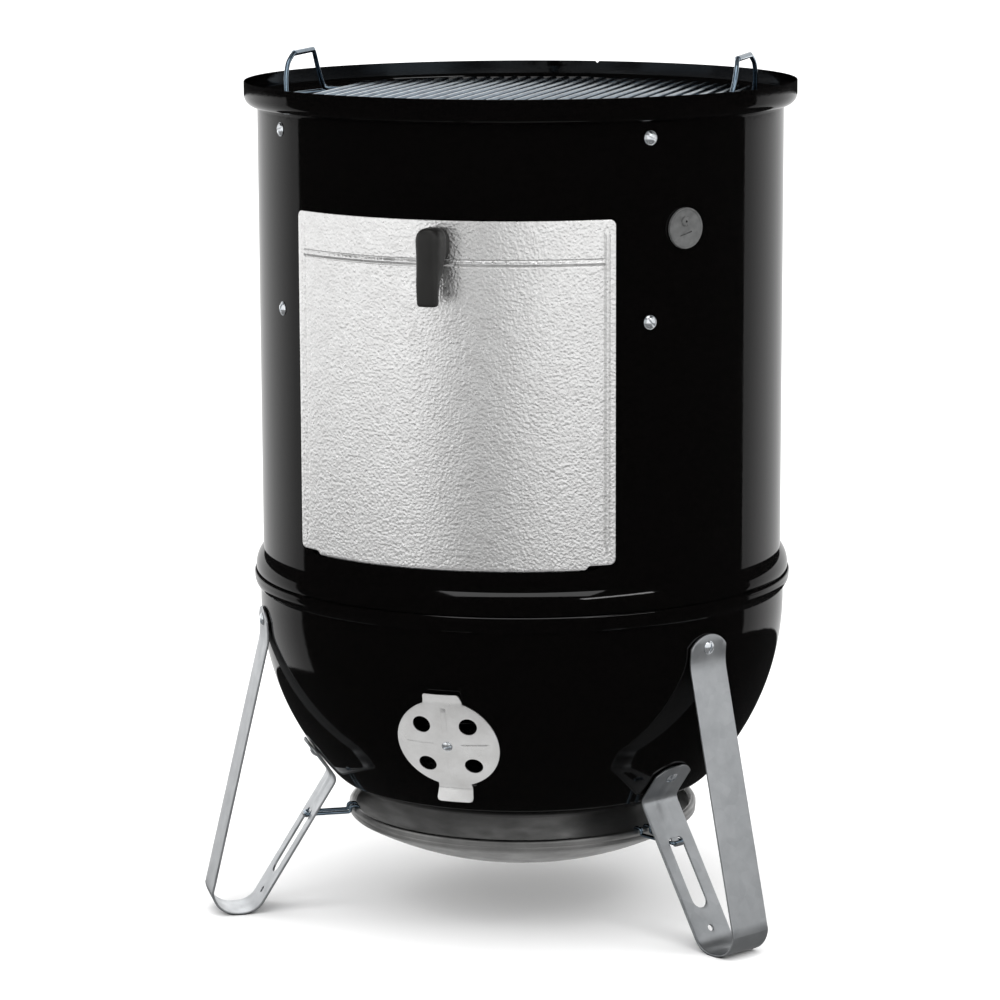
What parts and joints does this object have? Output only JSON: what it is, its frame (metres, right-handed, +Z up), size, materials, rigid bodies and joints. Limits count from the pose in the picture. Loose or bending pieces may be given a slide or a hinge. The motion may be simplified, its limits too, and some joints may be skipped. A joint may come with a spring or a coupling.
{
  "type": "vertical water smoker",
  "caption": "Upright bullet smoker without its lid: enamelled bowl on strap legs, barrel with a latched access door, round wire grates, water pan, dampers and heat shield.",
  "frame": {"origin": "on the ground, at the middle of the footprint's bounding box; the barrel's axis stands 14.4 mm in front of it, towards -Y", "axes": "+Z up along the barrel, -Y towards the access door, +X to the right of someone who faces the door"},
  "size_m": [0.6296, 0.6688, 0.9205],
  "materials": {
    "enamel": "glossy black porcelain enamel",
    "aluminium": "bright rolled sheet with a fine embossed grain",
    "galvanised": "galvanised strap with a soft spangle",
    "zinc": "bright zinc plate",
    "spring_wire": "drawn spring wire",
    "plain_steel": "plain steel",
    "plated_wire": "nickel-plated wire",
    "silicone": "matte grey silicone",
    "black_plastic": "matte black nylon"
  },
  "bodies": {
    "base": {"bowl": "enamel", "damper_screws": "zinc", "damper_nuts": "zinc", "leg_right": "galvanised", "leg_rear": "galvanised", "leg_left": "galvanised", "leg_screws": "zinc", "leg_nuts": "zinc", "charcoal_bracket_right": "galvanised", "charcoal_bracket_rear": "galvanised", "charcoal_bracket_left": "galvanised", "heat_shield": "aluminium", "heat_shield_hooks": "spring_wire"},
    "front_damper": {"damper_front": "aluminium"},
    "right_damper": {"damper_right": "aluminium"},
    "left_damper": {"damper_left": "aluminium"},
    "fire_grate": {"charcoal_grate": "plain_steel"},
    "fire_ring": {"charcoal_ring": "plain_steel"},
    "middle": {"barrel": "enamel", "probe_grommet": "silicone", "grate_strap_1": "galvanised", "grate_strap_2": "galvanised", "grate_strap_3": "galvanised", "grate_strap_4": "galvanised", "strap_screws": "zinc", "strap_nuts": "zinc"},
    "door": {"access_door": "aluminium"},
    "latch": {"latch_lever": "black_plastic", "latch_spindle": "zinc", "latch_cam": "zinc", "latch_screw": "zinc"},
    "pan": {"water_pan": "enamel"},
    "cooking_grate_low": {"lower_grate": "plated_wire"},
    "cooking_grate_top": {"top_grate": "plated_wire", "top_grate_handle_left": "plated_wire", "top_grate_handle_right": "plated_wire"}
  },
  "joints": [
    {"name": "front_damper_turn", "type": "hinge", "parent": "base", "child": "front_damper", "pos_m": [0, -0.27444, 0.22485], "axis": [0, -0.9157, -0.4019], "continuous": true},
    {"name": "right_damper_turn", "type": "hinge", "parent": "base", "child": "right_damper", "pos_m": [0.22521, 0.11564, 0.22485], "axis": [0.793, 0.4578, -0.4019], "continuous": true},
    {"name": "left_damper_turn", "type": "hinge", "parent": "base", "child": "left_damper", "pos_m": [-0.22521, 0.11564, 0.22485], "axis": [-0.793, 0.4578, -0.4019], "continuous": true},
    {"name": "barrel_lift", "type": "slide", "parent": "base", "child": "middle", "axis": [0, 0, 1], "range_m": [0, 0.6]},
    {"name": "fire_ring_lift", "type": "slide", "parent": "base", "child": "fire_ring", "axis": [0, 0, 1], "range_m": [0, 0.24]},
    {"name": "fire_grate_lift", "type": "slide", "parent": "base", "child": "fire_grate", "axis": [0, 0, 1], "range_m": [0, 0.18]},
    {"name": "door_tilt", "type": "hinge", "parent": "middle", "child": "door", "pos_m": [0, -0.29509, 0.4145], "axis": [1, 0, 0], "range_deg": [0, 60]},
    {"name": "latch_turn", "type": "hinge", "parent": "door", "child": "latch", "pos_m": [0, -0.30439, 0.745], "axis": [0, 1, 0], "range_deg": [0, 90]},
    {"name": "top_grate_lift", "type": "slide", "parent": "middle", "child": "cooking_grate_top", "axis": [0, 0, 1], "range_m": [0, 0.6]},
    {"name": "lower_grate_lift", "type": "slide", "parent": "middle", "child": "cooking_grate_low", "axis": [0, 0, 1], "range_m": [0, 0.528]},
    {"name": "water_pan_lift", "type": "slide", "parent": "middle", "child": "pan", "axis": [0, 0, 1], "range_m": [0, 0.468]}
  ],
  "couplings": [
    {"joint": "fire_ring_lift", "follows": "barrel_lift", "ratio": 0.4},
    {"joint": "fire_grate_lift", "follows": "barrel_lift", "ratio": 0.3},
    {"joint": "lower_grate_lift", "follows": "top_grate_lift", "ratio": 0.88},
    {"joint": "water_pan_lift", "follows": "top_grate_lift", "ratio": 0.78}
  ]
}
